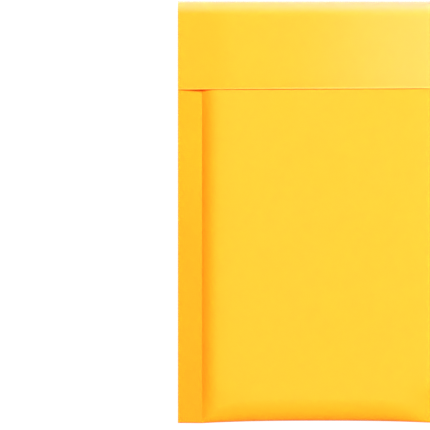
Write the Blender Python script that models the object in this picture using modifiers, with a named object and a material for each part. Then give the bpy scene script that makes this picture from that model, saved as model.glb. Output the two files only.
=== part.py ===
"""A padded envelope, empty and lying flat, with its flap folded down over the rear panel.

One sheet of paper makes the whole cover. It runs from the flap's free edge over the top fold, down the
address panel underneath, round the bottom fold and up the rear panel to the mouth, and two side seams bond
it to itself. A folded sheet of air-bubble film pads the pouch, and the flap carries an adhesive strip under
a release liner.

The frame: X runs across the envelope, Y up its height towards the top fold, and Z up from the surface that
it lies on. The origin is the middle of the outline, on that surface. Sizes are in metres.
"""

import math

import bmesh
import bpy

# Overall sizes of the closed envelope
ENVELOPE_WIDTH = 0.120
ENVELOPE_HEIGHT = 0.177
POUCH_THICKNESS = 0.0070

# The paper and its folds
PAPER_THICKNESS = 0.00025
BOTTOM_NOSE_LENGTH = 0.0126
BOTTOM_LIFT = 0.0010
TOP_ROLL_LENGTH = 0.0070
TOP_ROLL_AT_SEAM = 0.0040

# The side seams, and the shoulders between them and the flat of the pouch
SEAM_WIDTH = 0.0101
SEAM_THICKNESS = 0.0011
SEAM_OPEN_EDGE = 0.0003
SHOULDER_WIDTH = 0.014
SHOULDER_POWER = 3.0

# The mouth and the flap
MOUTH_BELOW_TOP = 0.0085
SEAM_BELOW_MOUTH = 0.0005
FLAP_DEPTH = 0.0366
FLAP_DROOP = 0.0019
FLAP_EDGE_GAP = 0.0008

# The strips on the flap's inner face
ADHESIVE_LENGTH = 0.108
ADHESIVE_WIDTH = 0.016
ADHESIVE_THICKNESS = 0.00015
LINER_LENGTH = 0.114
LINER_WIDTH = 0.022
LINER_THICKNESS = 0.00010
LINER_SETBACK = 0.0060

# The lining
POCKET_GAP = 0.0005
FILM_THICKNESS = 0.0003
FILM_ABOVE_FOLD = 0.0030
FILM_BELOW_MOUTH = 0.0020
FILM_INSIDE_SEAM = 0.0015
BUBBLE_DIAMETER = 0.010
BUBBLE_SPACING = 0.0020
BUBBLE_TAPER = 0.0008
BUBBLE_MARGIN = 0.0005

# The clearance between neighbouring pieces
FIT_GAP = 0.0003

# How finely the curves are cut
SHOULDER_FACETS = 7
SHOULDER_SPACING_POWER = 1.6
NOSE_FACETS = 14
ROLL_FACETS = 14
FLAT_FACETS = 2
FILM_FOLD_FACETS = 6
BUBBLE_FACETS = 8

# Places worked out from the sizes
HALF_WIDTH = ENVELOPE_WIDTH / 2
SEAM_INNER_X = HALF_WIDTH - SEAM_WIDTH
FLAT_X = SEAM_INNER_X - SHOULDER_WIDTH
TOP_Y = ENVELOPE_HEIGHT / 2
BOTTOM_Y = -ENVELOPE_HEIGHT / 2
FLAP_EDGE_Y = TOP_Y - FLAP_DEPTH
MOUTH_Y = TOP_Y - MOUTH_BELOW_TOP
MIDDLE_Z = POUCH_THICKNESS / 2
SEAM_HALF = (SEAM_THICKNESS - PAPER_THICKNESS) / 2
POUCH_HALF = (POUCH_THICKNESS - PAPER_THICKNESS) / 2
STRIP_STACK = 3 * FIT_GAP + ADHESIVE_THICKNESS + LINER_THICKNESS
FILM_HALF = (POCKET_GAP + FILM_THICKNESS) / 2
FILM_HALF_WIDTH = SEAM_INNER_X - FILM_INSIDE_SEAM
FILM_TOP_Y = MOUTH_Y - FILM_BELOW_MOUTH
FILM_FOLD_Y = BOTTOM_Y + PAPER_THICKNESS + BOTTOM_LIFT + FILM_ABOVE_FOLD
BUBBLE_PITCH = BUBBLE_DIAMETER + BUBBLE_SPACING
BUBBLE_ROW_PITCH = BUBBLE_PITCH * math.sin(math.pi / 3)


def clamped(share):
    """share, held between 0 and 1."""
    return min(max(share, 0.0), 1.0)


def pouch_rise(x):
    """How far the pouch has risen at x: 0 on a seam, 1 on the flat."""
    inward = clamped((SEAM_INNER_X - abs(x)) / SHOULDER_WIDTH)
    return 1 - (1 - inward) ** SHOULDER_POWER


def half_height(x):
    """Half of the pouch's thickness at x, measured to the middle of the paper."""
    return SEAM_HALF + (POUCH_HALF - SEAM_HALF) * pouch_rise(x)


def nose_length(x):
    """How far from the bottom fold the panels become level at x. On a seam the fold is round."""
    return half_height(x) + (BOTTOM_NOSE_LENGTH - POUCH_HALF) * pouch_rise(x)


def bottom_y(x):
    """The bottom fold's place at x. The padding draws it up into a low arch between the seams."""
    across = clamped(abs(x) / SEAM_INNER_X)
    return BOTTOM_Y + PAPER_THICKNESS / 2 + BOTTOM_LIFT * (1 - across**2)


def roll_length(x):
    """How far the top fold's round reaches down from the top at x."""
    return TOP_ROLL_AT_SEAM + (TOP_ROLL_LENGTH - TOP_ROLL_AT_SEAM) * pouch_rise(x)


def flap_z(x, y):
    """The height of the middle of the flap's paper. It droops from the pouch's flat out over each seam."""
    over_flat = POUCH_THICKNESS + STRIP_STACK + PAPER_THICKNESS / 2
    bend = clamped((abs(x) - FLAT_X) / (HALF_WIDTH - FLAT_X))
    droop = FLAP_DROOP * bend * bend * (3 - bend) / 2
    above_edge = clamped((y - FLAP_EDGE_Y) / LINER_SETBACK)
    lip = (STRIP_STACK - FLAP_EDGE_GAP) * (1 - above_edge) ** 2
    return over_flat - droop - lip


def spaced(start, end, facets):
    """Evenly spaced values from start to end, both included."""
    return [start + (end - start) * step / facets for step in range(facets + 1)]


def folded_round(level_y, tip_y, start_z, end_z, facets):
    """Half an ellipse of (y, z) points that leaves level_y at start_z and comes back to it at end_z."""
    angles = spaced(0.0, math.pi, facets)
    centre_z = (start_z + end_z) / 2
    half = (start_z - end_z) / 2
    return [(level_y + (tip_y - level_y) * math.sin(a), centre_z + half * math.cos(a)) for a in angles]


def bottom_fold(x):
    """The cover's bottom fold as (y, z) points at x, from the address panel round to the rear panel."""
    half = half_height(x)
    level_y = bottom_y(x) + nose_length(x)
    return folded_round(level_y, bottom_y(x), MIDDLE_Z - half, MIDDLE_Z + half, NOSE_FACETS)


def cover_path(x):
    """The cover's (y, z) points at x, from the flap's free edge to the rear panel's edge at the mouth."""
    panel_half = half_height(x)
    roll_y = TOP_Y - roll_length(x)
    lip_ys = spaced(FLAP_EDGE_Y, FLAP_EDGE_Y + LINER_SETBACK, FLAT_FACETS)
    flap_ys = spaced(FLAP_EDGE_Y + LINER_SETBACK, roll_y, FLAT_FACETS)
    top_tip_y = TOP_Y - PAPER_THICKNESS / 2
    top_roll = folded_round(roll_y, top_tip_y, flap_z(x, roll_y), MIDDLE_Z - panel_half, ROLL_FACETS)
    nose = bottom_fold(x)
    address_ys = spaced(roll_y, nose[0][0], FLAT_FACETS)
    rear_ys = spaced(nose[-1][0], MOUTH_Y, FLAT_FACETS)
    path = [(y, flap_z(x, y)) for y in lip_ys[:-1] + flap_ys[:-1]]
    path += top_roll
    path += [(y, MIDDLE_Z - panel_half) for y in address_ys[1:-1]]
    path += nose
    path += [(y, MIDDLE_Z + panel_half) for y in rear_ys[1:]]
    return path


def film_path():
    """The bubble film's (y, z) points, from the mouth down to its fold and back to the mouth."""
    address_z = MIDDLE_Z - FILM_HALF
    rear_z = MIDDLE_Z + FILM_HALF
    fold = folded_round(FILM_FOLD_Y + FILM_HALF, FILM_FOLD_Y, address_z, rear_z, FILM_FOLD_FACETS)
    return [(FILM_TOP_Y, address_z)] + fold + [(FILM_TOP_Y, rear_z)]


def under_paper(x, y):
    """How far from the middle height the room for the bubbles reaches at (x, y), clear of the paper."""
    into_fold = clamped(1 - (y - bottom_y(x)) / nose_length(x))
    paper_half = half_height(x) * math.sqrt(1 - into_fold**2)
    return paper_half - PAPER_THICKNESS / 2 - FIT_GAP


def mirrored(stations):
    """The stations right of the middle line, with their mirror images on its left."""
    return [-x for x in reversed(stations)] + [0.0] + stations


def shoulder_stations(outer_x):
    """Places across one shoulder, from the flat out to outer_x, closer together near the seam."""
    shares = [(1 - step / SHOULDER_FACETS) ** SHOULDER_SPACING_POWER for step in range(SHOULDER_FACETS)]
    return [outer_x - (outer_x - FLAT_X) * share for share in shares] + [outer_x]


def cover_stations():
    """Places across the cover at which its shape changes."""
    middle = spaced(0.0, FLAT_X, FLAT_FACETS)[1:-1]
    seam = spaced(SEAM_INNER_X, HALF_WIDTH, FLAT_FACETS)[1:]
    return mirrored(middle + shoulder_stations(SEAM_INNER_X) + seam)


def strip_stations(length):
    """Places across a strip of the given length."""
    middle = spaced(0.0, FLAT_X, FLAT_FACETS)[1:-1]
    return mirrored(middle + spaced(FLAT_X, length / 2, SHOULDER_FACETS))


def laid_along(vertex, columns, paths):
    """Where a point of the flat square from -1 to 1 goes when its column is laid along its own path."""
    column = round((vertex.co.x + 1) / 2 * (len(columns) - 1))
    step = round((vertex.co.y + 1) / 2 * (len(paths[0]) - 1))
    return (columns[column], *paths[column][step])


def folded_web(columns, path_at):
    """A thin sheet: a flat grid of which each column is laid along its own path of (y, z) points."""
    paths = [path_at(x) for x in columns]
    web = bmesh.new()
    bmesh.ops.create_grid(web, x_segments=len(columns) - 1, y_segments=len(paths[0]) - 1, size=1.0)
    for vertex in web.verts:
        vertex.co = laid_along(vertex, columns, paths)
    return web


def new_object(name, shape, collection):
    """Turns a bmesh into an object of its own in the collection."""
    mesh = bpy.data.meshes.new(name)
    shape.to_mesh(mesh)
    shape.free()
    made = bpy.data.objects.new(name, mesh)
    collection.objects.link(made)
    return made


def new_material(name, colour, roughness):
    """A plain non-metallic finish."""
    material = bpy.data.materials.new(name)
    material.use_nodes = True
    shader = material.node_tree.nodes["Principled BSDF"]
    shader.inputs["Base Color"].default_value = (*colour, 1.0)
    shader.inputs["Roughness"].default_value = roughness
    shader.inputs["Metallic"].default_value = 0.0
    return material


def give_thickness(sheet, thickness):
    """Gives an open sheet its wall, half on each side of the surface."""
    wall = sheet.modifiers.new("wall", "SOLIDIFY")
    wall.thickness = thickness
    wall.offset = 0.0
    wall.use_even_offset = True


def shade_round(piece):
    """Shades the folds and the bubbles' sides smooth, and keeps the cut edges sharp."""
    piece.data.shade_smooth()
    piece.data.set_sharp_from_angle(angle=math.radians(50))


def hide_as_tool(piece):
    """Marks a piece that only shapes another, so that it isn't part of the envelope."""
    piece.hide_render = True
    piece.display_type = "WIRE"


def join(piece, other):
    """Joins another piece to this one as one solid."""
    union = piece.modifiers.new(other.name, "BOOLEAN")
    union.operation = "UNION"
    union.object = other


def seal_core(name, side, collection):
    """The welded filling of one side seam. It ends in the middle of the paper all round."""
    inner_x = side * SEAM_INNER_X
    outer_x = side * (HALF_WIDTH - SEAM_OPEN_EDGE)
    mouth_y = MOUTH_Y - SEAM_BELOW_MOUTH
    fold = bottom_fold(HALF_WIDTH)
    outline = [(mouth_y, fold[0][1])] + fold + [(mouth_y, fold[-1][1])]
    core = bmesh.new()
    corners = [core.verts.new((inner_x, y, z)) for y, z in outline]
    core.faces.new(corners)
    grown = bmesh.ops.extrude_face_region(core, geom=core.faces[:])
    far_corners = [part for part in grown["geom"] if isinstance(part, bmesh.types.BMVert)]
    bmesh.ops.translate(core, vec=(outer_x - inner_x, 0.0, 0.0), verts=far_corners)
    bmesh.ops.recalc_face_normals(core, faces=core.faces[:])
    made = new_object(name, core, collection)
    hide_as_tool(made)
    return made


def make_paper_cover(collection, core_collection):
    """The one folded sheet of paper, bonded to itself along both side seams."""
    cover = new_object("paper_cover", folded_web(cover_stations(), cover_path), collection)
    cover.data.materials.append(new_material("yellow_paper", (0.94, 0.38, 0.014), 0.55))
    shade_round(cover)
    give_thickness(cover, PAPER_THICKNESS)
    join(cover, seal_core("left_seal_core", -1, core_collection))
    join(cover, seal_core("right_seal_core", 1, core_collection))


def bubble_centres():
    """The bubbles' centres on one ply, in rows that are each shifted by half a pitch from the next."""
    edge = BUBBLE_DIAMETER / 2 + BUBBLE_MARGIN
    room_x = 2 * FILM_HALF_WIDTH - 2 * edge - BUBBLE_PITCH / 2
    room_y = FILM_TOP_Y - FILM_FOLD_Y - FILM_HALF - 2 * edge
    gaps_x = int(room_x / BUBBLE_PITCH)
    gaps_y = int(room_y / BUBBLE_ROW_PITCH)
    highest_y = FILM_TOP_Y - edge - (room_y - gaps_y * BUBBLE_ROW_PITCH) / 2
    centres = []
    for row in range(gaps_y + 1):
        shift = BUBBLE_PITCH / 4 * (-1) ** row
        y = highest_y - BUBBLE_ROW_PITCH * row
        centres += [(BUBBLE_PITCH * (column - gaps_x / 2) + shift, y) for column in range(gaps_x + 1)]
    return centres


def add_bubble(bubbles, centre_x, centre_y, side):
    """One air bubble that stands on the film, on the side given as 1 or -1, and reaches the paper."""
    made = bmesh.ops.create_cone(
        bubbles,
        cap_ends=True,
        cap_tris=True,
        segments=BUBBLE_FACETS,
        radius1=BUBBLE_DIAMETER / 2,
        radius2=BUBBLE_DIAMETER / 2 - BUBBLE_TAPER,
        depth=1.0,
    )
    for vertex in made["verts"]:
        x = centre_x + vertex.co.x
        y = centre_y + vertex.co.y
        height = under_paper(x, y) if vertex.co.z > 0 else FILM_HALF
        vertex.co = (x, y, MIDDLE_Z + side * height)


def all_bubbles(collection):
    """The bubbles of both plies."""
    bubbles = bmesh.new()
    for side in (-1, 1):
        for x, y in bubble_centres():
            add_bubble(bubbles, x, y, side)
    bmesh.ops.recalc_face_normals(bubbles, faces=bubbles.faces[:])
    made = new_object("bubbles", bubbles, collection)
    shade_round(made)
    hide_as_tool(made)
    return made


def make_bubble_lining(collection, core_collection):
    """The bubble film, folded in two, with its bubbles towards the paper and its flat face inside."""
    web = folded_web([-FILM_HALF_WIDTH, FILM_HALF_WIDTH], lambda x: film_path())
    lining = new_object("bubble_lining", web, collection)
    lining.data.materials.append(new_material("bubble_film", (0.86, 0.89, 0.91), 0.3))
    give_thickness(lining, FILM_THICKNESS)
    join(lining, all_bubbles(core_collection))


def make_strip(name, size, depth, material, collection):
    """A strip of the given length, width and thickness, its middle at depth below the flap's paper."""
    length, width, thickness = size
    middle_y = FLAP_EDGE_Y + LINER_SETBACK + LINER_WIDTH / 2
    strip_ys = (middle_y - width / 2, middle_y + width / 2)
    web = folded_web(strip_stations(length), lambda x: [(y, flap_z(x, y) - depth) for y in strip_ys])
    strip = new_object(name, web, collection)
    strip.data.materials.append(material)
    shade_round(strip)
    give_thickness(strip, thickness)


def make_strips(collection):
    """The adhesive on the flap's inner face, and the release liner that covers it."""
    adhesive_size = (ADHESIVE_LENGTH, ADHESIVE_WIDTH, ADHESIVE_THICKNESS)
    adhesive_depth = PAPER_THICKNESS / 2 + FIT_GAP + ADHESIVE_THICKNESS / 2
    hot_melt = new_material("hot_melt_adhesive", (0.72, 0.62, 0.42), 0.35)
    make_strip("adhesive_strip", adhesive_size, adhesive_depth, hot_melt, collection)
    liner_size = (LINER_LENGTH, LINER_WIDTH, LINER_THICKNESS)
    liner_depth = adhesive_depth + ADHESIVE_THICKNESS / 2 + FIT_GAP + LINER_THICKNESS / 2
    release_paper = new_material("release_paper", (0.88, 0.88, 0.86), 0.3)
    make_strip("release_liner", liner_size, liner_depth, release_paper, collection)


def new_collection(name):
    """A collection of the given name, linked to the scene."""
    made = bpy.data.collections.new(name)
    bpy.context.scene.collection.children.link(made)
    return made


def main():
    """Clears the scene and builds the envelope."""
    for old in list(bpy.data.objects):
        bpy.data.objects.remove(old, do_unlink=True)
    envelope = new_collection("padded_envelope")
    cores = new_collection("joined_cores")
    make_paper_cover(envelope, cores)
    make_bubble_lining(envelope, cores)
    make_strips(envelope)


main()
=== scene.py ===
"""The looks of a small padded envelope that lies flat with its flap folded down.

The cover is one sheet of yellow paper, folded from a flat blank. It hides a folded sheet of air-bubble film,
and its flap carries a sticky strip under a release liner. X runs across the envelope, Y up its height
towards the top fold, and Z up from the surface that it lies on. Sizes are in metres.
"""

import math

import bpy
import numpy as np
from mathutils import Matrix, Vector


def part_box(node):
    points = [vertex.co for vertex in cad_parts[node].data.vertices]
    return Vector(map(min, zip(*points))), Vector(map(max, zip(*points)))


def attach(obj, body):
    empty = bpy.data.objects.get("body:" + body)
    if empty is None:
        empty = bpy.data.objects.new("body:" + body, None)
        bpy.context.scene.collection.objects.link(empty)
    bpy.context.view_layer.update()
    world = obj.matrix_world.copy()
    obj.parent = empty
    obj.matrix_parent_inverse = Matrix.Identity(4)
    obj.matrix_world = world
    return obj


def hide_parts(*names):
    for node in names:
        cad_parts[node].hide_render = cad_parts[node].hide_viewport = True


bl_info = {
    "name": "Padded Envelope",
    "version": (1, 0, 0),
    "blender": (4, 5, 0),
    "location": "3D View > Sidebar > Envelope",
    "description": "Models the cover, lining and strips of a padded envelope, and the table that it lies on",
    "category": "Object",
}

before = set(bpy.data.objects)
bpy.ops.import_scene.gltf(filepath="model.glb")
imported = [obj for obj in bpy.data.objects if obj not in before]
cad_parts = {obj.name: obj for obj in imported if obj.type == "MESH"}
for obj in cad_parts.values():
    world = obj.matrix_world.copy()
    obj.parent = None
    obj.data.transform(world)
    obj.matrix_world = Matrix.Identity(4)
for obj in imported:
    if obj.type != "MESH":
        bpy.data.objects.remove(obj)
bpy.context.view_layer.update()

# The closed envelope
COVER_LOW, COVER_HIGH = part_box("paper_cover")
HALF_WIDTH = COVER_HIGH.x
TOP_Y = COVER_HIGH.y
BOTTOM_Y = COVER_LOW.y
POUCH_THICKNESS = 0.0070
MIDDLE_Z = POUCH_THICKNESS / 2
SEAM_WIDTH = 0.0101
SEAM_INNER_X = HALF_WIDTH - SEAM_WIDTH
SHOULDER_WIDTH = 0.014
FLAT_X = SEAM_INNER_X - SHOULDER_WIDTH
MOUTH_Y = TOP_Y - 0.0085
FLAP_EDGE_Y = TOP_Y - 0.03682

# The lining's film, with half the distance between its two plies, and where its bubbles may stand
FILM_THICKNESS = 0.00015
FILM_HALF = 0.0004
FILM_HALF_WIDTH = SEAM_INNER_X - 0.0015
FILM_TOP_Y = MOUTH_Y - 0.0020
FILM_ABOVE_FOLD = 0.0030
BUBBLE_SPACING = 0.0020
BUBBLE_MARGIN = 0.0005
BUBBLES_ABOVE_BOTTOM = 0.0047
BUBBLE_CLEARANCE = 0.00005

# A bubble, 1 in radius: the sides of its disc, and the heights and narrowings of its steps
BUBBLE_SIDES = 12
BUBBLE_STEPS = ((0.5, 0.985), (0.3, 0.93), (0.14, 0.8), (0.05, 0.55))

# The film welded into each seam: its distance from the papers, the crease, the free edge and the mouth
WELD_CLEARANCE = 0.00002
WELD_FROM_CREASE = 0.0002
WELD_FROM_EDGE = 0.0004
WELD_BELOW_MOUTH = 0.0005

# The adhesive's distance from the flap and from its liner
STRIP_CONTACT = 0.00003

# How finely the sheets are divided, along their paths and across them
LIP_ROWS = 8
FLAP_ROWS = 14
ROLL_ROWS = 36
ADDRESS_ROWS = 30
NOSE_ROWS = 40
REAR_ROWS = 56
FILM_ROWS = 48
FILM_FOLD_ROWS = 8
STRIP_ROWS = 10
WELD_ROWS = 70
FLAT_COLUMNS = 12
SHOULDER_COLUMNS = 26
SHOULDER_CROWDING = 1.7
SEAM_COLUMNS = 14
SEAM_CROWDING = 1.5
FILM_COLUMNS = 40
STRIP_COLUMNS = 48
WELD_COLUMNS = 10

# Edges over these angles, in degrees, stay sharp
SHEET_SHARP_ANGLE = 40
FILM_SHARP_ANGLE = 35

# The place above which the camera stands, which is left of the envelope's middle as in the photograph
CAMERA_X = -0.04446
CAMERA_Y = -0.00114


class ENVELOPE_PG_sizes(bpy.types.PropertyGroup):
    """The sizes of the paper, its folds and the strips."""

    paper_thickness: bpy.props.FloatProperty(
        name="Paper thickness",
        description="Thickness of the cover's paper",
        default=0.00024,
        min=0.0001,
        unit="LENGTH",
        precision=5,
    )
    seam_thickness: bpy.props.FloatProperty(
        name="Seam thickness",
        description="Thickness of a side seam, with both papers and the film welded between them",
        default=0.0010,
        unit="LENGTH",
        precision=5,
    )
    seam_sag: bpy.props.FloatProperty(
        name="Seam sag",
        description="How far a seam's free edge hangs below its inner edge, at the bottom of the envelope",
        default=0.0016,
        unit="LENGTH",
        precision=5,
    )
    seam_lift: bpy.props.FloatProperty(
        name="Seam lift",
        description="How far the seams rise to meet the flap near the mouth",
        default=0.0006,
        unit="LENGTH",
        precision=5,
    )
    nose_length: bpy.props.FloatProperty(
        name="Bottom nose length",
        description="How far from the bottom fold the padding reaches its full height",
        default=0.0094,
        unit="LENGTH",
        precision=5,
    )
    bottom_arch: bpy.props.FloatProperty(
        name="Bottom arch",
        description="How far the padding draws the middle of the bottom fold up",
        default=0.00100,
        unit="LENGTH",
        precision=5,
    )
    roll_length: bpy.props.FloatProperty(
        name="Top roll length",
        description="How far the top fold's round reaches down from the top",
        default=0.0070,
        unit="LENGTH",
        precision=5,
    )
    flap_gap: bpy.props.FloatProperty(
        name="Flap gap",
        description="Height of the flap's underside above the padded panel",
        default=0.00048,
        unit="LENGTH",
        precision=5,
    )
    adhesive_thickness: bpy.props.FloatProperty(
        name="Adhesive thickness",
        description="Thickness of the sticky strip",
        default=0.00015,
        unit="LENGTH",
        precision=5,
    )
    liner_thickness: bpy.props.FloatProperty(
        name="Liner thickness",
        description="Thickness of the release liner",
        default=0.00010,
        unit="LENGTH",
        precision=5,
    )
    bubble_diameter: bpy.props.FloatProperty(
        name="Bubble diameter",
        description="Diameter of one air bubble of the lining",
        default=0.010,
        unit="LENGTH",
    )


class ENVELOPE_PG_colours(bpy.types.PropertyGroup):
    """The colours of the envelope's materials and of the table."""

    paper: bpy.props.FloatVectorProperty(
        name="Paper",
        description="Colour of the dyed paper",
        default=(0.95, 0.29, 0.001),
        subtype="COLOR",
        min=0.0,
        max=1.0,
    )
    film: bpy.props.FloatVectorProperty(
        name="Bubble film",
        description="Colour of the milky bubble film",
        default=(0.86, 0.89, 0.91),
        subtype="COLOR",
        min=0.0,
        max=1.0,
    )
    adhesive: bpy.props.FloatVectorProperty(
        name="Adhesive",
        description="Colour of the sticky strip",
        default=(0.72, 0.62, 0.42),
        subtype="COLOR",
        min=0.0,
        max=1.0,
    )
    liner: bpy.props.FloatVectorProperty(
        name="Release liner",
        description="Colour of the slick paper over the adhesive",
        default=(0.88, 0.88, 0.86),
        subtype="COLOR",
        min=0.0,
        max=1.0,
    )
    table: bpy.props.FloatVectorProperty(
        name="Table",
        description="Colour of the table",
        default=(0.06, 0.06, 0.06),
        subtype="COLOR",
        min=0.0,
        max=1.0,
    )


# Shapes: the paths that the flat sheets are folded along


def clamped(share):
    """share, held between 0 and 1."""
    return min(max(share, 0.0), 1.0)


def eased(start, end, value):
    """0 at start, 1 at end, and smooth in between."""
    share = clamped((value - start) / (end - start))
    return share * share * (3 - 2 * share)


def spaced(start, end, steps):
    """Evenly spaced values from start to end, both included."""
    return [start + (end - start) * step / steps for step in range(steps + 1)]


def crowded(start, end, steps, power):
    """Values from start to end, both included, closer together near the end."""
    return [end - (end - start) * (1 - step / steps) ** power for step in range(steps + 1)]


class Shape:
    """The envelope's folded form, worked out from its sizes."""

    # The shoulders between the seams and the pouch: the width of the steep foot and the long tail's share
    LEFT_SHOULDER = (0.0044, 0.08)
    RIGHT_SHOULDER = (0.0024, 0.02)

    # The flap: where it starts to droop, its final slope, the width of that bend, and how far it is askew
    LEFT_DROOP_X = FLAT_X
    RIGHT_DROOP_X = FLAT_X + 0.0045
    FLAP_SLOPE = 0.075
    FLAP_BEND = 0.008
    FLAP_TILT = 0.0045
    LIP_DEPTH = 0.00016
    LIP_WIDTH = 0.006
    WAVE_HEIGHT = 0.00005
    WAVE_ACROSS = 95.0
    WAVE_ALONG = 70.0
    WAVE_START = 0.7

    # The seams: how they rise to the flap, and how their sag fades up the envelope, between pairs of Y
    SEAM_RISE = 0.0003
    LIFT_Y = (0.030, 0.056)
    LOW_SAG_FADE = 0.0006
    LOW_SAG_Y = (-0.080, -0.045)
    HIGH_SAG_FADE = 0.0018
    HIGH_SAG_Y = (-0.030, 0.040)
    SAG_BOW = 0.12

    # The address panel's fall past the mouth, and the top fold's round over a seam
    FREE_FALL = 0.0022
    FREE_Y = (MOUTH_Y - 0.006, TOP_Y - 0.007)
    SEAM_ROLL_LENGTH = 0.0060

    # The bottom fold: its arch, its tip, how blunt it is, and how its length fades towards each seam
    ARCH_POWER = 2.6
    TIP_DROP = 0.0005
    NOSE_POWER = 1.7
    CORNER_NOSE_POWER = 2.2
    CORNER_NOSE_X = (0.030, 0.046)
    LEFT_FADE_POWER = 7
    RIGHT_FADE_POWER = 14

    # The lower corners: how much flatter they are, and over what distances
    LEFT_CORNER_DROP = 0.0010
    RIGHT_CORNER_DROP = 0.0032
    CORNER_X = (0.027, 0.052)
    CORNER_HEIGHT = 0.018

    def __init__(self, sizes):
        self.sizes = sizes
        self.paper = sizes.paper_thickness
        self.seam_half = (sizes.seam_thickness - self.paper) / 2
        self.pouch_half = (POUCH_THICKNESS - self.paper) / 2

    def shoulder(self, inward, form):
        """A shoulder's rise, not yet scaled, at a distance from its seam: a steep foot and a long tail."""
        foot_width, tail_share = form
        foot = foot_width * math.sqrt(math.pi) / 2 * math.erf(inward / foot_width)
        tail = inward - inward * inward / (2 * SHOULDER_WIDTH)
        return (1 - tail_share) * foot + tail_share * tail

    def rise(self, x):
        """How far the pouch has risen at x: 0 on a seam, 1 on the flat."""
        inward = min(max(SEAM_INNER_X - abs(x), 0.0), SHOULDER_WIDTH)
        form = self.LEFT_SHOULDER if x < 0 else self.RIGHT_SHOULDER
        return self.shoulder(inward, form) / self.shoulder(SHOULDER_WIDTH, form)

    def half_height(self, x, y):
        """Half of the pouch's thickness at (x, y), to the paper's middle. The lower corners are flatter."""
        corner = eased(*self.CORNER_X, abs(x)) * (1 - eased(BOTTOM_Y, BOTTOM_Y + self.CORNER_HEIGHT, y))
        drop = (self.LEFT_CORNER_DROP if x < 0 else self.RIGHT_CORNER_DROP) * corner
        return self.seam_half + (self.pouch_half - self.seam_half - drop) * self.rise(x)

    def middle(self, x, y):
        """The height halfway between the two panels. The seams rise to the flap and sag lower down."""
        lift = self.SEAM_RISE + self.sizes.seam_lift * eased(*self.LIFT_Y, y)
        out = clamped((abs(x) - SEAM_INNER_X) / SEAM_WIDTH)
        low_fade = self.LOW_SAG_FADE * eased(*self.LOW_SAG_Y, y)
        high_fade = self.HIGH_SAG_FADE * eased(*self.HIGH_SAG_Y, y)
        sag = self.sizes.seam_sag - low_fade - high_fade
        return MIDDLE_Z + lift * (1 - self.rise(x)) - sag * out * (1 + self.SAG_BOW - self.SAG_BOW * out)

    def rear(self, x, y):
        """The height of the rear panel's paper, which faces up."""
        return self.middle(x, y) + self.half_height(x, y)

    def address(self, x, y):
        """The height of the address panel's paper, which faces down. Past the mouth nothing holds it up."""
        free = eased(*self.FREE_Y, y) * (1 - self.rise(x))
        return self.middle(x, y) - self.half_height(x, y) - self.FREE_FALL * free

    def flap(self, x, y):
        """The height of the flap's paper. It falls away a little over the seams and at its free edge."""
        out = max(abs(x) - (self.LEFT_DROOP_X if x < 0 else self.RIGHT_DROOP_X), 0.0)
        bend = min(out, self.FLAP_BEND)
        droop = self.FLAP_SLOPE * (bend * bend / (2 * self.FLAP_BEND) + out - bend)
        lip = self.LIP_DEPTH * (1 - clamped((y - self.flap_edge(x)) / self.LIP_WIDTH)) ** 2
        across = math.sin(x * self.WAVE_ACROSS + self.WAVE_START)
        wave = self.WAVE_HEIGHT * across * math.sin((y - FLAP_EDGE_Y) * self.WAVE_ALONG)
        return POUCH_THICKNESS + self.sizes.flap_gap + self.paper / 2 - droop - lip + wave

    def flap_edge(self, x):
        """The place of the flap's free edge at x. It isn't quite square to the envelope."""
        return FLAP_EDGE_Y + self.FLAP_TILT * x

    def bottom(self, x):
        """The bottom fold's place at x: an arch between the seams."""
        share = clamped(abs(x) / SEAM_INNER_X)
        return BOTTOM_Y + self.paper / 2 + self.sizes.bottom_arch * (1 - share**self.ARCH_POWER)

    def nose(self, x):
        """How far from the bottom fold the panels become level at x, never sharper than paper can fold."""
        half = self.half_height(x, BOTTOM_Y)
        length = half + (self.sizes.nose_length - self.pouch_half) * self.mid(x)
        return min(length, half * half / (self.paper / 2))

    def nose_power(self, x):
        """How blunt the bottom fold is at x: 2 is an ellipse. The flatter corner's fold is the blunter."""
        added = self.CORNER_NOSE_POWER - self.NOSE_POWER
        return self.NOSE_POWER + added * eased(*self.CORNER_NOSE_X, x)

    def tip_drop(self, x):
        """How far the bottom fold's tip lies below the middle height at x."""
        return self.TIP_DROP * self.mid(x) * self.half_height(x, BOTTOM_Y) / self.pouch_half

    def mid(self, x):
        """1 between the seams, and falling to 0 towards each of them."""
        power = self.LEFT_FADE_POWER if x < 0 else self.RIGHT_FADE_POWER
        return 1 - clamped(abs(x) / SEAM_INNER_X) ** power

    def roll(self, x):
        """How far the top fold's round reaches down from the top at x."""
        return self.SEAM_ROLL_LENGTH + (self.sizes.roll_length - self.SEAM_ROLL_LENGTH) * self.rise(x)

    def bottom_fold(self, x, steps):
        """The bottom fold as (y, z) points, from the address panel round to the rear panel."""
        level_y = self.bottom(x) + self.nose(x)
        tip_z = self.middle(x, level_y) - self.tip_drop(x)
        points = []
        power = 2 / self.nose_power(x)
        for angle in spaced(0.0, math.pi, steps):
            reach = abs(math.cos(angle)) ** power
            out = abs(math.sin(angle)) ** power
            y = level_y - self.nose(x) * out
            end = self.address(x, y) if angle < math.pi / 2 else self.rear(x, y)
            points.append((y, tip_z + reach * (end - tip_z)))
        return points

    def top_fold(self, x, steps):
        """The top fold as (y, z) points, from the flap round to the address panel."""
        level_y = TOP_Y - self.roll(x)
        reach = self.roll(x) - self.paper / 2
        high = self.flap(x, level_y)
        low = self.address(x, level_y)
        centre = (high + low) / 2
        half = (high - low) / 2
        turns = spaced(0.0, math.pi, steps)
        return [(level_y + reach * math.sin(turn), centre + half * math.cos(turn)) for turn in turns]

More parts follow.
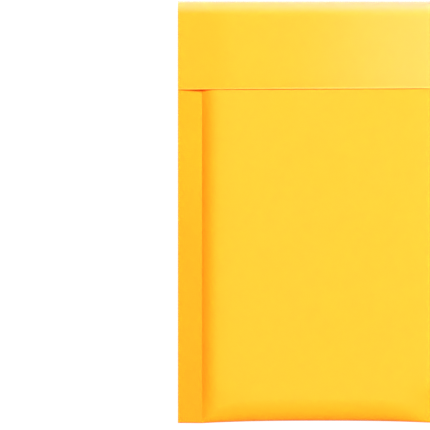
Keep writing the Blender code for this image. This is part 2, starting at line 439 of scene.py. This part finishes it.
    def cover(self, x):
        """The cover's (y, z) points at x, from the flap's free edge to the rear panel's at the mouth."""
        edge_y = self.flap_edge(x)
        lip = [(y, self.flap(x, y)) for y in spaced(edge_y, edge_y + self.LIP_WIDTH, LIP_ROWS)]
        top = self.top_fold(x, ROLL_ROWS)
        flap = [(y, self.flap(x, y)) for y in spaced(lip[-1][0], top[0][0], FLAP_ROWS)]
        nose = self.bottom_fold(x, NOSE_ROWS)
        address = [(y, self.address(x, y)) for y in spaced(top[-1][0], nose[0][0], ADDRESS_ROWS)]
        rear = [(y, self.rear(x, y)) for y in spaced(nose[-1][0], MOUTH_Y, REAR_ROWS)]
        return lip[:-1] + flap[:-1] + top[:-1] + address[:-1] + nose[:-1] + rear

    def room(self, x, y, side):
        """The height that a bubble may reach at (x, y) inside the panel above (1) or below (-1)."""
        into_fold = clamped(1 - (y - self.bottom(x)) / self.nose(x))
        drop = self.tip_drop(x)
        power = self.nose_power(x)
        share = (1 - into_fold**power) ** (1 / power)
        reach = share * (self.half_height(x, y) + side * drop)
        return self.middle(x, y) - drop + side * (reach - self.paper / 2 - BUBBLE_CLEARANCE)

    def film_middle(self, x, y):
        """The height halfway between the lining's two plies. It follows the bottom fold down."""
        into_fold = clamped(1 - (y - self.bottom(x)) / self.nose(x))
        return self.middle(x, y) - self.tip_drop(x) * into_fold * into_fold

    def film(self, x):
        """The bubble film's (y, z) points at x, from the mouth down to its fold and back to the mouth."""
        fold_y = self.bottom(0.0) + self.paper / 2 + FILM_ABOVE_FOLD
        level_y = fold_y + FILM_HALF
        low = [(y, self.film_middle(x, y) - FILM_HALF) for y in spaced(FILM_TOP_Y, level_y, FILM_ROWS)]
        high = [(y, self.film_middle(x, y) + FILM_HALF) for y in spaced(level_y, FILM_TOP_Y, FILM_ROWS)]
        centre = self.film_middle(x, level_y)
        fold = []
        for turn in spaced(0.0, math.pi, FILM_FOLD_ROWS)[1:-1]:
            fold.append((level_y - FILM_HALF * math.sin(turn), centre - FILM_HALF * math.cos(turn)))
        return low + fold + high

    def under_flap(self, low_y, high_y, depth):
        """A path for a strip under the flap, that depth below the middle of the flap's paper."""
        return lambda x: [(y, self.flap(x, y) - depth) for y in spaced(low_y, high_y, STRIP_ROWS)]

    def seam_core(self, x):
        """The welded film between a seam's papers, from the bottom fold up to the mouth."""
        low_y = self.bottom(x) + 2 * self.seam_half
        return [(y, self.middle(x, y)) for y in spaced(low_y, MOUTH_Y - WELD_BELOW_MOUTH, WELD_ROWS)]


def mirrored(places):
    """The places right of the middle line, with their mirror images on its left."""
    return [-x for x in reversed(places)] + [0.0] + places


def cover_columns():
    """Places across the cover, closest together at the crease between a seam and its shoulder."""
    flat = spaced(0.0, FLAT_X, FLAT_COLUMNS)[1:]
    shoulder = crowded(FLAT_X, SEAM_INNER_X, SHOULDER_COLUMNS, SHOULDER_CROWDING)[1:]
    turned = crowded(SEAM_INNER_X, HALF_WIDTH, SEAM_COLUMNS, SEAM_CROWDING)
    seam = [SEAM_INNER_X + HALF_WIDTH - x for x in reversed(turned)][1:]
    return mirrored(flat + shoulder + seam)


# Modelling: folding a sheet and giving it its wall


def deselect():
    """Leaves nothing selected, because an operator acts on all that is."""
    if bpy.context.object and bpy.context.object.mode != "OBJECT":
        bpy.ops.object.mode_set(mode="OBJECT")
    bpy.ops.object.select_all(action="DESELECT")


def choose(*pieces):
    """Selects these pieces alone, the last of them active."""
    deselect()
    for piece in pieces:
        piece.select_set(True)
    bpy.context.view_layer.objects.active = pieces[-1]


def folded_sheet(name, columns, path_at):
    """A flat blank of paper or film, folded: each column of it is laid along its own (y, z) points.

    Its UV map is the blank itself, in metres: across it, and along it from the paths' first point.
    """
    paths = [path_at(x) for x in columns]
    rows = len(paths[0])
    deselect()
    bpy.ops.mesh.primitive_grid_add(x_subdivisions=len(columns) - 1, y_subdivisions=rows - 1, size=2.0)
    sheet = bpy.context.object
    sheet.name = sheet.data.name = name
    middle = np.array(paths[len(columns) // 2])
    along = np.concatenate([[0.0], np.cumsum(np.linalg.norm(np.diff(middle, axis=0), axis=1))])
    flat = np.empty(len(sheet.data.vertices) * 3)
    sheet.data.vertices.foreach_get("co", flat)
    flat = flat.reshape(-1, 3)
    column = np.rint((flat[:, 0] + 1) / 2 * (len(columns) - 1)).astype(int)
    row = np.rint((flat[:, 1] + 1) / 2 * (rows - 1)).astype(int)
    laid = np.array(paths)[column, row]
    across = np.array(columns)[column]
    places = np.column_stack([across, laid])
    sheet.data.vertices.foreach_set("co", places.ravel())
    corners = np.empty(len(sheet.data.loops), dtype=int)
    sheet.data.loops.foreach_get("vertex_index", corners)
    blank = np.column_stack([across, along[row]])[corners]
    sheet.data.uv_layers.active.data.foreach_set("uv", blank.ravel())
    sheet.data.update()
    return sheet


def turn_outwards(piece):
    """Makes the faces of a closed piece point outwards."""
    choose(piece)
    bpy.ops.object.mode_set(mode="EDIT")
    bpy.ops.mesh.select_all(action="SELECT")
    bpy.ops.mesh.normals_make_consistent(inside=False)
    bpy.ops.object.mode_set(mode="OBJECT")


def give_thickness(piece, thickness, edge_material=0):
    """Gives a sheet its wall, half on each side. Its cut edge may have a material of its own."""
    choose(piece)
    wall = piece.modifiers.new("wall", "SOLIDIFY")
    wall.thickness = thickness
    wall.offset = 0.0
    wall.use_even_offset = True
    wall.material_offset_rim = edge_material
    bpy.ops.object.modifier_apply(modifier=wall.name)


def shade(piece, degrees):
    """Shades a piece smooth, with its edges over the angle kept sharp."""
    choose(piece)
    bpy.ops.object.shade_smooth_by_angle(angle=math.radians(degrees))


def finish_piece(piece, node):
    """Lets a piece stand for a solid of the frame and ride with the envelope."""
    if node:
        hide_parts(node)
    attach(piece, "root")


# Materials

# The places of a Mix node's two colours among its inputs and of their mixture among its outputs
MIX_FIRST = 6
MIX_SECOND = 7
MIX_RESULT = 2


class Amount:
    """A number that varies over a surface. Sums on it add Math nodes to its material."""

    def __init__(self, finish, socket):
        self.finish = finish
        self.socket = socket

    def maths(self, operation, *values):
        """This sum's result as a new amount."""
        return self.finish.node("ShaderNodeMath", {"operation": operation}, dict(enumerate(values)))

    def __add__(self, other):
        return self.maths("ADD", self, other)

    def __radd__(self, other):
        return self.maths("ADD", other, self)

    def __sub__(self, other):
        return self.maths("SUBTRACT", self, other)

    def __rsub__(self, other):
        return self.maths("SUBTRACT", other, self)

    def __mul__(self, other):
        return self.maths("MULTIPLY", self, other)

    def __rmul__(self, other):
        return self.maths("MULTIPLY", other, self)

    def __abs__(self):
        return self.maths("ABSOLUTE", self)

    def eased(self, start, end):
        """0 below start, 1 above end, and smooth in between."""
        values = {"Value": self, "From Min": start, "From Max": end}
        settings = {"interpolation_type": "SMOOTHSTEP"}
        return self.finish.node("ShaderNodeMapRange", settings, values)


class Finish:
    """A procedural material and the nodes in it."""

    def __init__(self, name):
        self.material = bpy.data.materials.new(name)
        self.material.use_nodes = True
        self.tree = self.material.node_tree
        self.shader = self.tree.nodes["Principled BSDF"]

    def node(self, kind, settings, values, output=0):
        """Adds a node with its settings and its sockets' values or links, and gives one of its outputs."""
        made = self.tree.nodes.new(kind)
        for key, value in settings.items():
            setattr(made, key, value)
        for key, value in values.items():
            if isinstance(value, Amount):
                self.tree.links.new(value.socket, made.inputs[key])
            else:
                made.inputs[key].default_value = value
        return Amount(self, made.outputs[output])

    def place(self):
        """The point of the piece's own space that is shaded."""
        return self.node("ShaderNodeTexCoord", {}, {}, "Object")

    def blank(self):
        """The point of the flat blank that is shaded, in metres."""
        return self.node("ShaderNodeTexCoord", {}, {}, "UV")

    def part_of(self, vector, axis):
        """One coordinate of a vector, X, Y or Z."""
        return self.node("ShaderNodeSeparateXYZ", {}, {"Vector": vector}, axis)

    def noise(self, vector, scale, detail=2.0, roughness=0.5, stretch=(1.0, 1.0, 1.0)):
        """Cloudy noise around 0.5, with scale in cells to the metre, stretched along the axes."""
        turned = self.node("ShaderNodeMapping", {}, {"Vector": vector, "Scale": stretch})
        values = {"Vector": turned, "Scale": scale, "Detail": detail, "Roughness": roughness}
        return self.node("ShaderNodeTexNoise", {}, values, "Fac")

    def mixed(self, share, first, second):
        """Two colours mixed by a share."""
        values = {"Factor": share, MIX_FIRST: first, MIX_SECOND: second}
        return self.node("ShaderNodeMix", {"data_type": "RGBA"}, values, MIX_RESULT)

    def bump(self, height, strength, distance):
        """A surface relief of that height."""
        values = {"Height": height, "Strength": strength, "Distance": distance}
        return self.node("ShaderNodeBump", {}, values)

    def set(self, **values):
        """Sets the shader's sockets. An underscore in a name stands for a space."""
        for name, value in values.items():
            socket = self.shader.inputs[name.replace("_", " ")]
            if isinstance(value, Amount):
                self.tree.links.new(value.socket, socket)
            else:
                socket.default_value = value
        return self.material


def opaque(colour, factor=1.0):
    """A colour with its alpha, made lighter or darker by a factor."""
    return (*(min(part * factor, 1.0) for part in colour), 1.0)


def paper_finish(colour):
    """Smooth dyed paper with a satin face: faint mottle and short fibres, with painted sheen on its top fold
    and flap, a painted highlight on the flap's free edge and painted shade on its seams.
    """
    paper = Finish("yellow_paper")
    red, green, blue = colour
    place = paper.place()
    along = paper.part_of(place, "X")
    out = abs(along)
    up = paper.part_of(place, "Y")
    down_blank = paper.part_of(paper.blank(), "Y")
    right = along.eased(-0.060, 0.045)
    # The sheet's own tone
    mottle = paper.noise(place, 60.0, 3.0, 0.55)
    cloud = paper.noise(place, 14.0, 2.0, 0.5)
    fibre = paper.noise(place, 1600.0, 2.0, 0.6, (1.0, 0.45, 1.0))
    tone = 0.5 + 0.35 * (mottle - 0.5) + 0.3 * (cloud - 0.5) + 0.2 * (fibre - 0.5)
    face = paper.mixed(tone, opaque(colour, 0.985), opaque(colour, 1.015))
    # Painted shade: the seams are painted darker and deeper orange than the face. The flap lies on them and
    # isn't
    off_flap = down_blank.eased(0.036, 0.038)
    seam = out.eased(SEAM_INNER_X - 0.0002, SEAM_INNER_X + 0.0004) * off_flap
    seam_shaded = paper.mixed(seam, face, opaque((red * 0.98, green * 0.87, blue * 0.5)))
    # Painted sheen: the flap is painted paler and whiter towards its right end
    pale = right * right * right * (1 - off_flap)
    flap_sheened = paper.mixed(pale, seam_shaded, opaque((red, green * 1.09, 0.037)))
    # Painted sheen: the top fold is painted paler and whiter, most at its crest and at its ends, where it
    # turns towards the light
    crest = up.eased(TOP_Y - 0.0056, TOP_Y - 0.0008)
    left_sheen = opaque((red, green * 1.16, 0.11))
    right_sheen = opaque((red, green * 1.10, 0.20))
    roll_sheened = paper.mixed(0.8 * crest, flap_sheened, paper.mixed(right, left_sheen, right_sheen))
    ends = crest * out.eased(SEAM_INNER_X - 0.004, SEAM_INNER_X + 0.002)
    roll_ends_sheened = paper.mixed(0.25 * ends, roll_sheened, opaque((red, green * 1.22, 0.11)))
    # Painted highlight: the very crest of the top fold is painted brightest
    brow = up.eased(TOP_Y - 0.0010, TOP_Y - 0.0003)
    brightest = paper.mixed(0.6 * brow, roll_ends_sheened, opaque((red, green * 1.35, 0.30)))
    # Painted highlight: the flap's free edge is painted pale, most towards its right end
    rim = (1 - down_blank.eased(0.0004, 0.0009)) * (0.2 + 0.8 * right)
    rim_highlighted = paper.mixed(rim, brightest, opaque((red, green * 1.34, 0.055)))
    grain = paper.noise(place, 2600.0, 3.0, 0.6, (1.0, 0.6, 1.0))
    relief = 0.5 * grain + 0.5 * paper.noise(place, 700.0, 2.0, 0.5)
    return paper.set(
        Base_Color=rim_highlighted,
        Roughness=0.66 + 0.10 * (mottle - 0.5) + 0.24 * seam,
        Specular_IOR_Level=0.30,
        Subsurface_Weight=0.3,
        Subsurface_Radius=(1.0, 0.12, 0.02),
        Subsurface_Scale=0.002,
        Normal=paper.bump(relief, 0.25, 0.00006),
    )


def cut_edge_finish(colour):
    """The paper's cut edge, paler and rougher than its face."""
    edge = Finish("paper_cut_edge")
    fuzz = edge.noise(edge.place(), 3000.0, 2.0, 0.6)
    pale = tuple(part + (1 - part) * 0.05 for part in colour)
    shown = edge.mixed(fuzz, opaque(pale, 0.93), opaque(pale, 1.04))
    return edge.set(
        Base_Color=shown, Roughness=0.8 + 0.1 * (fuzz - 0.5), Normal=edge.bump(fuzz, 0.4, 0.00005)
    )


def weld_finish(colour):
    """The edge of the film that is welded between a seam's papers."""
    weld = Finish("welded_film")
    streak = weld.noise(weld.place(), 900.0, 2.0, 0.6, (1.0, 0.3, 3.0))
    tinted = (colour[0], colour[1] * 0.8, colour[2] * 0.42)
    shown = weld.mixed(streak, opaque(tinted, 0.85), opaque(tinted))
    return weld.set(Base_Color=shown, Roughness=0.45 + 0.2 * (streak - 0.5))


def film_finish(colour):
    """Milky clear bubble film with fine drawing lines and a soft gloss."""
    film = Finish("bubble_film")
    place = film.place()
    haze = film.noise(place, 120.0, 3.0, 0.55)
    lines = film.noise(place, 900.0, 2.0, 0.5, (1.0, 0.06, 1.0))
    shown = film.mixed(haze, opaque(colour, 0.94), opaque(colour, 1.03))
    return film.set(
        Base_Color=shown,
        Roughness=0.22 + 0.16 * (haze - 0.5),
        Alpha=0.80 + 0.14 * (haze - 0.5),
        Specular_IOR_Level=0.5,
        Normal=film.bump(0.6 * lines + 0.4 * haze, 0.3, 0.00008),
    )


def adhesive_finish(colour):
    """A hot-melt strip: amber, tacky, with the fine ridges of the roller that laid it."""
    glue = Finish("hot_melt_adhesive")
    place = glue.place()
    cloud = glue.noise(place, 90.0, 3.0, 0.6)
    ridges = glue.noise(place, 800.0, 2.0, 0.5, (0.08, 1.0, 1.0))
    shown = glue.mixed(cloud, opaque(colour, 0.9), opaque(colour, 1.08))
    return glue.set(
        Base_Color=shown,
        Roughness=0.3 + 0.2 * (ridges - 0.5),
        Coat_Weight=0.3,
        Normal=glue.bump(ridges, 0.35, 0.00006),
    )


def liner_finish(colour):
    """Slick white release paper with faint cross creases."""
    liner = Finish("release_paper")
    place = liner.place()
    cloud = liner.noise(place, 70.0, 3.0, 0.6)
    fibre = liner.noise(place, 2200.0, 2.0, 0.6, (0.5, 1.0, 1.0))
    shown = liner.mixed(0.6 * cloud + 0.4 * fibre, opaque(colour, 0.95), opaque(colour, 1.04))
    return liner.set(
        Base_Color=shown,
        Roughness=0.26 + 0.12 * (cloud - 0.5),
        Coat_Weight=0.25,
        Coat_Roughness=0.15,
        Normal=liner.bump(fibre, 0.2, 0.00004),
    )


def table_finish(colour):
    """A bright, evenly lit white table."""
    table = Finish("white_table")
    cloud = table.noise(table.place(), 3.0, 2.0, 0.5)
    shown = table.mixed(cloud, opaque(colour, 0.99), opaque(colour, 1.01))
    return table.set(
        Base_Color=shown,
        Roughness=0.7,
        Specular_IOR_Level=0.1,
        Emission_Color=(1.0, 1.0, 1.0, 1.0),
        Emission_Strength=1.0,
    )


# Operators: one for each piece or pair of pieces, and one for the stage


class ENVELOPE_OT_paper_cover(bpy.types.Operator):
    """Folds the cover from one sheet of paper and welds its side seams"""

    bl_idname = "envelope.paper_cover"
    bl_label = "Paper Cover"
    bl_options = {"REGISTER", "UNDO"}

    def execute(self, context):
        shape = Shape(context.scene.envelope_sizes)
        colours = context.scene.envelope_colours
        cover = folded_sheet("cover_sheet", cover_columns(), shape.cover)
        cover.data.materials.append(paper_finish(colours.paper))
        cover.data.materials.append(cut_edge_finish(colours.paper))
        give_thickness(cover, shape.paper, 1)
        shade(cover, SHEET_SHARP_ANGLE)
        core_thickness = 2 * (shape.seam_half - shape.paper / 2 - WELD_CLEARANCE)
        film = weld_finish(colours.film)
        for name, side in (("left_seam_weld", -1), ("right_seam_weld", 1)):
            places = spaced(SEAM_INNER_X + WELD_FROM_CREASE, HALF_WIDTH - WELD_FROM_EDGE, WELD_COLUMNS)
            columns = sorted(side * x for x in places)
            core = folded_sheet(name, columns, shape.seam_core)
            core.data.materials.append(film)
            give_thickness(core, core_thickness)
            turn_outwards(core)
            shade(core, SHEET_SHARP_ANGLE)
            finish_piece(core, None)
        turn_outwards(cover)
        finish_piece(cover, "paper_cover")
        return {"FINISHED"}


def bubble_centres(diameter):
    """The bubbles' centres on one ply, in rows that are each shifted by half a pitch from the next."""
    pitch = diameter + BUBBLE_SPACING
    row_pitch = pitch * math.sin(math.pi / 3)
    edge = diameter / 2 + BUBBLE_MARGIN
    lowest_y = BOTTOM_Y + BUBBLES_ABOVE_BOTTOM + edge
    gaps_x = int((2 * FILM_HALF_WIDTH - 2 * edge - pitch / 2) / pitch)
    gaps_y = int((FILM_TOP_Y - edge - lowest_y) / row_pitch)
    highest_y = FILM_TOP_Y - edge - (FILM_TOP_Y - edge - lowest_y - gaps_y * row_pitch) / 2
    centres = []
    for row in range(gaps_y + 1):
        shift = pitch / 4 * (-1) ** row
        y = highest_y - row_pitch * row
        centres += [(pitch * (column - gaps_x / 2) + shift, y) for column in range(gaps_x + 1)]
    return centres


def model_bubble():
    """One closed air bubble, 1 in radius and 1 high, drawn up from a disc in narrowing steps."""
    deselect()
    bpy.ops.mesh.primitive_circle_add(vertices=BUBBLE_SIDES, radius=1.0, fill_type="NGON")
    bubble = bpy.context.object
    bpy.ops.object.mode_set(mode="EDIT")
    bpy.ops.mesh.select_mode(type="FACE")
    bpy.ops.mesh.select_all(action="SELECT")
    for height, width in BUBBLE_STEPS:
        bpy.ops.mesh.extrude_region_move(TRANSFORM_OT_translate={"value": (0.0, 0.0, height)})
        bpy.ops.transform.resize(value=(width, width, 1.0))
    bpy.ops.mesh.poke(offset=0.0)
    bpy.ops.object.mode_set(mode="OBJECT")
    return bubble


def stand_bubble(bubble, shape, centre, radius, side):
    """A copy of the bubble that stands on one ply of the film at a centre and reaches the paper."""
    copy = bpy.data.objects.new("bubble", bubble.data.copy())
    bpy.context.scene.collection.objects.link(copy)
    for vertex in copy.data.vertices:
        x = centre[0] + vertex.co.x * radius
        y = centre[1] + vertex.co.y * radius
        foot = shape.film_middle(x, y) + side * FILM_HALF
        vertex.co = (x, y, foot + vertex.co.z * (shape.room(x, y, side) - foot))
    return copy


class ENVELOPE_OT_bubble_lining(bpy.types.Operator):
    """Models the folded air-bubble film that pads both panels"""

    bl_idname = "envelope.bubble_lining"
    bl_label = "Bubble Lining"
    bl_options = {"REGISTER", "UNDO"}

    def execute(self, context):
        sizes = context.scene.envelope_sizes
        shape = Shape(sizes)
        columns = spaced(-FILM_HALF_WIDTH, FILM_HALF_WIDTH, FILM_COLUMNS)
        lining = folded_sheet("bubble_film", columns, shape.film)
        give_thickness(lining, FILM_THICKNESS)
        turn_outwards(lining)
        bubble = model_bubble()
        radius = sizes.bubble_diameter / 2
        centres = bubble_centres(sizes.bubble_diameter)
        copies = [stand_bubble(bubble, shape, at, radius, side) for side in (-1, 1) for at in centres]
        choose(*copies)
        bpy.ops.object.join()
        bubbles = context.object
        turn_outwards(bubbles)
        choose(lining)
        union = lining.modifiers.new("bubbles", "BOOLEAN")
        union.operation = "UNION"
        union.object = bubbles
        bpy.ops.object.modifier_apply(modifier=union.name)
        choose(bubble, bubbles)
        bpy.ops.object.delete()
        lining.data.materials.clear()
        lining.data.materials.append(film_finish(context.scene.envelope_colours.film))
        shade(lining, FILM_SHARP_ANGLE)
        finish_piece(lining, "bubble_lining")
        return {"FINISHED"}


class ENVELOPE_OT_flap_strips(bpy.types.Operator):
    """Lays the adhesive strip and its release liner on the flap's inner face"""

    bl_idname = "envelope.flap_strips"
    bl_label = "Adhesive and Release Liner"
    bl_options = {"REGISTER", "UNDO"}

    def execute(self, context):
        sizes = context.scene.envelope_sizes
        colours = context.scene.envelope_colours
        shape = Shape(sizes)
        glue_thickness = sizes.adhesive_thickness
        liner_thickness = sizes.liner_thickness
        glue_depth = shape.paper / 2 + STRIP_CONTACT + glue_thickness / 2
        liner_depth = glue_depth + (glue_thickness + liner_thickness) / 2 + STRIP_CONTACT
        strips = (
            ("adhesive_band", "adhesive_strip", "hot_melt_adhesive", glue_depth, glue_thickness),
            ("liner_strip", "release_liner", "release_paper", liner_depth, liner_thickness),
        )
        finishes = (adhesive_finish(colours.adhesive), liner_finish(colours.liner))
        for (name, node, slot, depth, thickness), finish in zip(strips, finishes):
            low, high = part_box(node)
            columns = spaced(low.x, high.x, STRIP_COLUMNS)
            strip = folded_sheet(name, columns, shape.under_flap(low.y, high.y, depth))
            strip.data.materials.append(finish)
            give_thickness(strip, thickness)
            turn_outwards(strip)
            shade(strip, SHEET_SHARP_ANGLE)
            finish_piece(strip, node)
        return {"FINISHED"}


class ENVELOPE_OT_stage(bpy.types.Operator):
    """Adds the white table, the lights and the camera"""

    bl_idname = "envelope.stage"
    bl_label = "Table, Lights and Camera"
    bl_options = {"REGISTER", "UNDO"}

    def execute(self, context):
        deselect()
        table_z = -0.00005
        bpy.ops.mesh.primitive_plane_add(size=6.0, location=(0.0, 0.0, table_z))
        table = context.object
        table.name = "table"
        table.data.materials.append(table_finish(context.scene.envelope_colours.table))
        add_light(
            "key_light",
            direction=(0.46, 0.33, 0.72),
            distance=4.0,
            size=1.7,
            power=460.0,
            colour=(1.0, 1.0, 1.0),
        )
        add_light(
            "fill_light",
            direction=(-0.5, -0.2, 0.84),
            distance=3.0,
            size=2.2,
            power=60.0,
            colour=(1.0, 0.1, 0.04),
        )
        context.scene.world = studio_world(glow=0.06)
        context.scene.view_settings.view_transform = "Standard"
        add_camera()
        return {"FINISHED"}


def studio_world(glow):
    """A backdrop that looks white but lights the envelope only with a weak glow."""
    world = bpy.data.worlds.new("studio")
    world.use_nodes = True
    tree = world.node_tree
    backdrop = tree.nodes["Background"]
    backdrop.inputs["Color"].default_value = (1.0, 1.0, 1.0, 1.0)
    seen = tree.nodes.new("ShaderNodeLightPath").outputs["Is Camera Ray"]
    strength = tree.nodes.new("ShaderNodeMapRange")
    strength.inputs["To Min"].default_value = glow
    tree.links.new(seen, strength.inputs["Value"])
    tree.links.new(strength.outputs["Result"], backdrop.inputs["Strength"])
    return world


def add_light(name, direction, distance, size, power, colour):
    """A square soft light that shines on the envelope from a direction."""
    length = math.sqrt(sum(part * part for part in direction))
    place = [part / length * distance for part in direction]
    across = math.hypot(place[0], place[1])
    turn = (math.atan2(across, place[2]), 0.0, math.atan2(place[1], place[0]) + math.pi / 2)
    deselect()
    bpy.ops.object.light_add(type="AREA", location=place, rotation=turn)
    light = bpy.context.object
    light.name = name
    light.data.shape = "SQUARE"
    light.data.size = size
    light.data.energy = power
    light.data.color = colour


def add_camera():
    """A long lens that looks straight down, with the photograph's frame."""
    deselect()
    frame_width = 0.1801
    lens = 300.0
    sensor = 36.0
    distance = frame_width * lens / sensor
    place = (CAMERA_X, CAMERA_Y, POUCH_THICKNESS + distance)
    bpy.ops.object.camera_add(location=place, rotation=(0.0, 0.0, 0.0))
    camera = bpy.context.object
    camera.name = "photo_camera"
    camera.data.lens = lens
    camera.data.sensor_width = sensor
    camera.data.clip_end = 50.0
    bpy.context.scene.camera = camera


class ENVELOPE_PT_sidebar(bpy.types.Panel):
    """Lists the envelope's pieces, sizes and colours"""

    bl_idname = "ENVELOPE_PT_sidebar"
    bl_label = "Padded Envelope"
    bl_space_type = "VIEW_3D"
    bl_region_type = "UI"
    bl_category = "Envelope"

    def draw(self, context):
        column = self.layout.column()
        for step in STEPS:
            column.operator(step.bl_idname)
        for group in (context.scene.envelope_sizes, context.scene.envelope_colours):
            box = self.layout.box()
            for name in type(group).__annotations__:
                box.prop(group, name)


STEPS = (ENVELOPE_OT_paper_cover, ENVELOPE_OT_bubble_lining, ENVELOPE_OT_flap_strips, ENVELOPE_OT_stage)
CLASSES = (ENVELOPE_PG_sizes, ENVELOPE_PG_colours, *STEPS, ENVELOPE_PT_sidebar)


def register():
    """Adds the classes and the scene's settings."""
    for made in CLASSES:
        bpy.utils.register_class(made)
    bpy.types.Scene.envelope_sizes = bpy.props.PointerProperty(type=ENVELOPE_PG_sizes)
    bpy.types.Scene.envelope_colours = bpy.props.PointerProperty(type=ENVELOPE_PG_colours)


def unregister():
    """Takes the classes and the scene's settings away again."""
    del bpy.types.Scene.envelope_colours
    del bpy.types.Scene.envelope_sizes
    for made in reversed(CLASSES):
        bpy.utils.unregister_class(made)


def main():
    """Makes every piece."""
    register()
    bpy.ops.envelope.paper_cover()
    bpy.ops.envelope.bubble_lining()
    bpy.ops.envelope.flap_strips()
    bpy.ops.envelope.stage()


if __name__ == "__main__":
    main()
